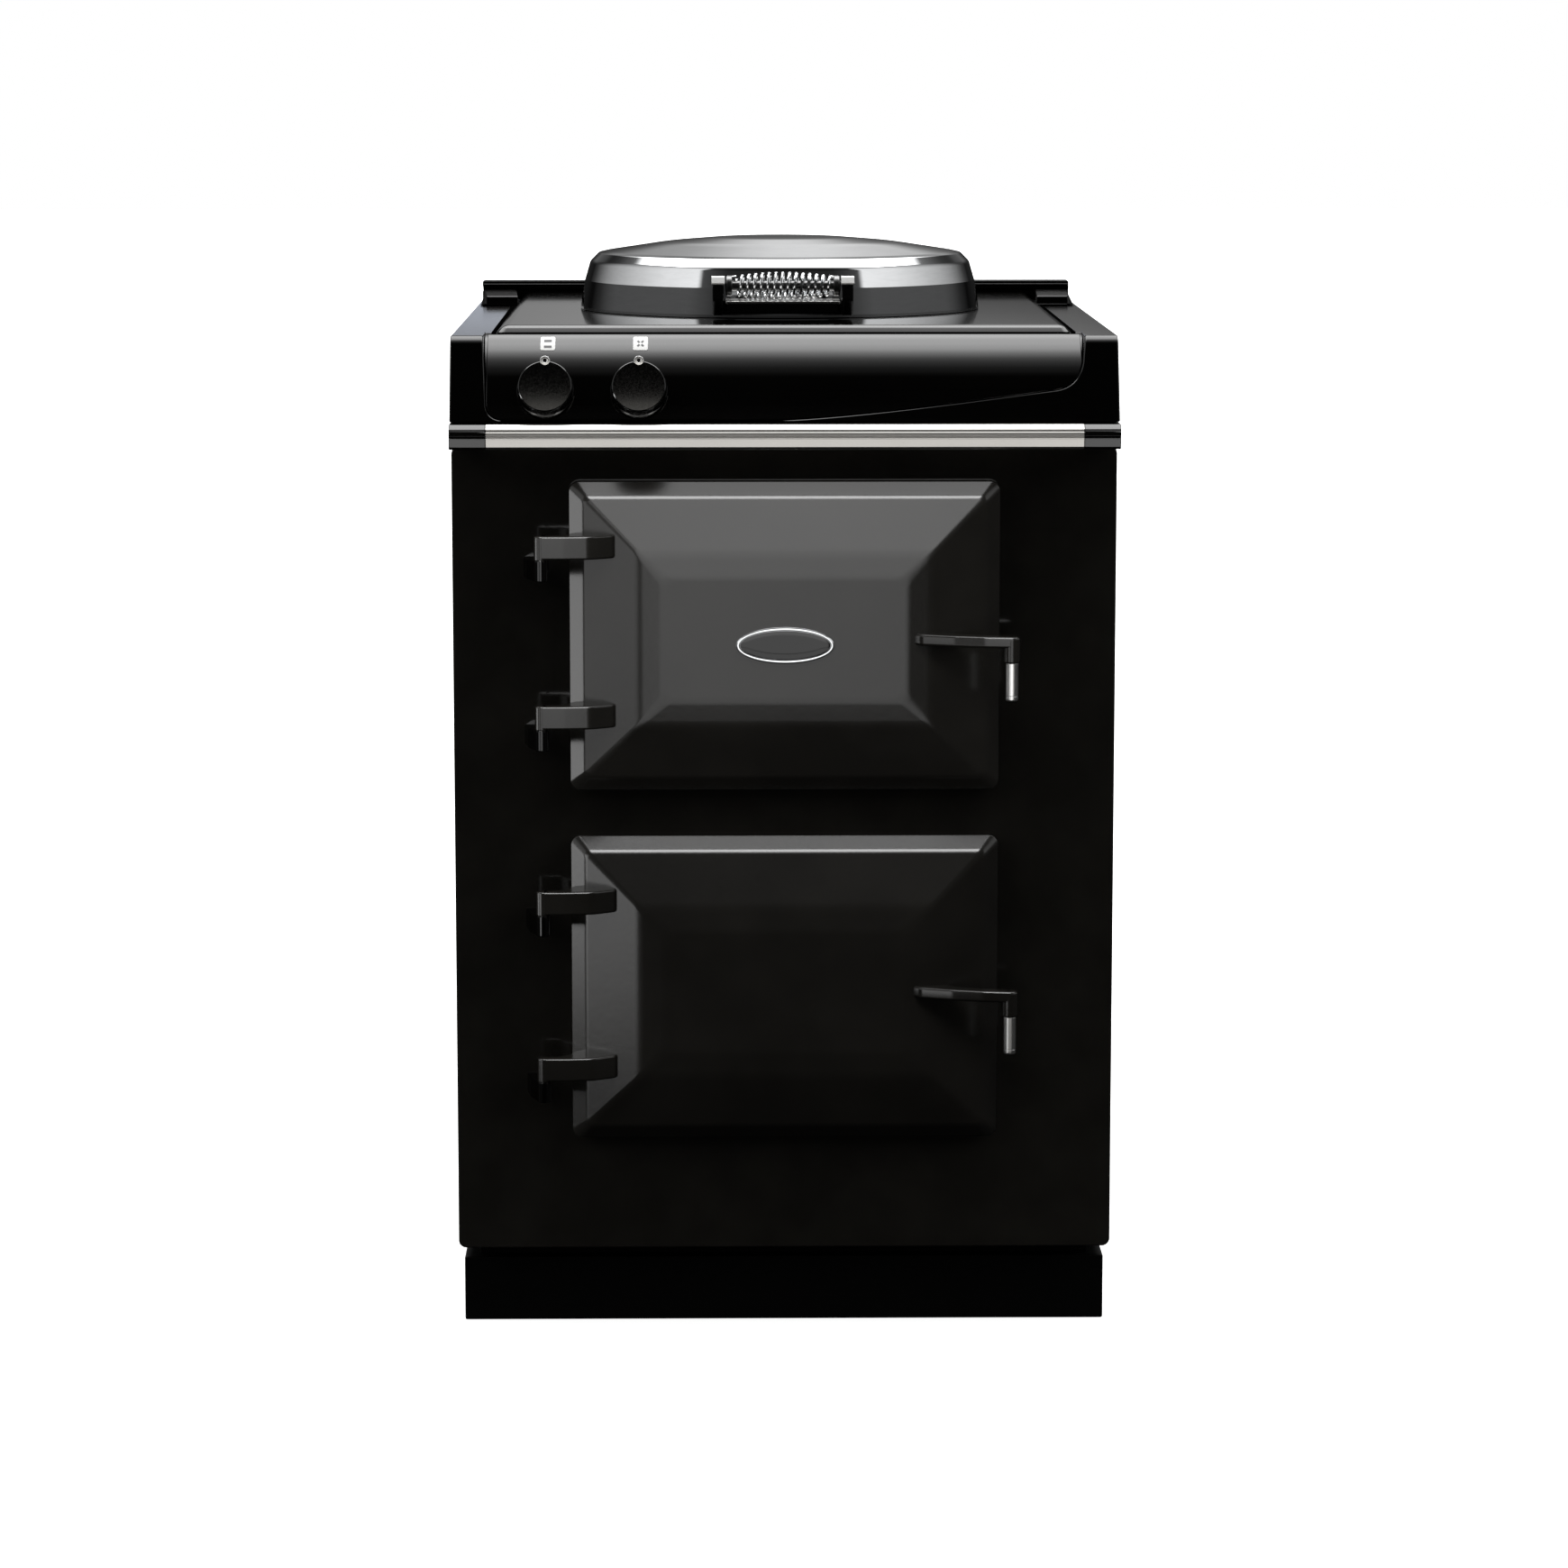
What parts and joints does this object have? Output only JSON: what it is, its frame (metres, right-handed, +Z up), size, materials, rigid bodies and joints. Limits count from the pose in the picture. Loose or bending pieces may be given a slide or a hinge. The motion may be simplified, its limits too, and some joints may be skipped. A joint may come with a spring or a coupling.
{
  "type": "range cooker",
  "caption": "Free-standing cast iron range cooker with side-hinged oven doors, a lidded round hotplate, turning controls and a plinth.",
  "frame": {"origin": "middle of the footprint, on the floor; the footprint runs from the front of the door handles to the back of the vent rail", "axes": "+Z up, -Y to the front where the doors are, +X to the cook's right"},
  "size_m": [0.598, 0.7232, 0.9863],
  "materials": {
    "enamel_iron": "vitreous enamel, glossy",
    "enamel_sheet": "vitreous enamel, glossy",
    "plinth_black": "satin powder coat",
    "chrome": "polished",
    "stainless": "satin",
    "black_iron": "satin black",
    "black_plastic": "moulded",
    "raw_iron": "machined and blackened",
    "oven_enamel": "speckled oven enamel",
    "heater_steel": "heat-dulled",
    "mineral_wool": "fibrous",
    "glass_rope": "woven",
    "knob_black": "glossy",
    "switch_body": "moulded"
  },
  "bodies": {
    "cooker_body": {"plinth": "plinth_black", "chassis_base": "plinth_black", "side_panel_left": "enamel_sheet", "side_panel_right": "enamel_sheet", "rear_panel": "plinth_black", "front_plate": "enamel_iron", "cable_gland": "black_plastic", "hob_surround": "enamel_iron", "control_panel": "enamel_sheet", "trim_rail": "stainless", "trim_cap_left": "enamel_iron", "trim_cap_right": "enamel_iron", "hob_plate": "enamel_iron", "hotplate": "raw_iron", "hotplate_element": "heater_steel", "hotplate_pan": "mineral_wool", "rear_vent_rail": "enamel_iron", "lid_hinge_base": "black_iron", "lid_hinge_pin": "stainless", "upper_hinge_bracket_top": "enamel_iron", "upper_hinge_pin_top": "stainless", "upper_hinge_bracket_bottom": "enamel_iron", "upper_hinge_pin_bottom": "stainless", "lower_hinge_bracket_top": "enamel_iron", "lower_hinge_pin_top": "stainless", "lower_hinge_bracket_bottom": "enamel_iron", "lower_hinge_pin_bottom": "stainless", "upper_oven_liner": "oven_enamel", "upper_oven_shelf": "stainless", "upper_oven_element": "heater_steel", "upper_oven_jacket": "mineral_wool", "lower_oven_liner": "oven_enamel", "lower_oven_shelf": "stainless", "lower_oven_element": "heater_steel", "lower_oven_jacket": "mineral_wool", "oven_switch": "switch_body", "hotplate_switch": "switch_body"},
    "upper_door": {"upper_door_casting": "enamel_iron", "upper_door_liner": "oven_enamel", "upper_door_seal": "glass_rope", "upper_door_handle_arm": "enamel_iron", "upper_door_handle_grip": "stainless", "door_plate": "chrome"},
    "lower_door": {"lower_door_casting": "enamel_iron", "lower_door_liner": "oven_enamel", "lower_door_seal": "glass_rope", "lower_door_handle_arm": "enamel_iron", "lower_door_handle_grip": "stainless"},
    "lid": {"lid_shell": "chrome", "lid_liner": "oven_enamel", "lid_insulation": "mineral_wool", "lid_hinge_arm": "black_iron", "lid_handle_rod": "stainless", "lid_handle_post_left": "black_iron", "lid_handle_post_right": "black_iron", "lid_handle_bracket": "stainless", "lid_handle_coil": "chrome"},
    "oven_control": {"oven_knob": "knob_black"},
    "hotplate_control": {"hotplate_knob": "knob_black"}
  },
  "joints": [
    {"name": "upper_door_hinge", "type": "hinge", "parent": "cooker_body", "child": "upper_door", "pos_m": [-0.218, -0.3374, 0.6405], "axis": [0, 0, -1], "range_deg": [0, 130]},
    {"name": "lower_door_hinge", "type": "hinge", "parent": "cooker_body", "child": "lower_door", "pos_m": [-0.218, -0.3374, 0.3197], "axis": [0, 0, -1], "range_deg": [0, 130]},
    {"name": "lid_hinge", "type": "hinge", "parent": "cooker_body", "child": "lid", "pos_m": [0, 0.2476, 0.931], "axis": [-1, 0, 0], "range_deg": [0, 95]},
    {"name": "oven_knob_turn", "type": "hinge", "parent": "cooker_body", "child": "oven_control", "pos_m": [-0.2135, -0.31113, 0.8605], "axis": [0, 0.9093, -0.4161], "range_deg": [0, 270]},
    {"name": "hotplate_knob_turn", "type": "hinge", "parent": "cooker_body", "child": "hotplate_control", "pos_m": [-0.13, -0.31113, 0.8605], "axis": [0, 0.9093, -0.4161], "range_deg": [0, 270]}
  ]
}
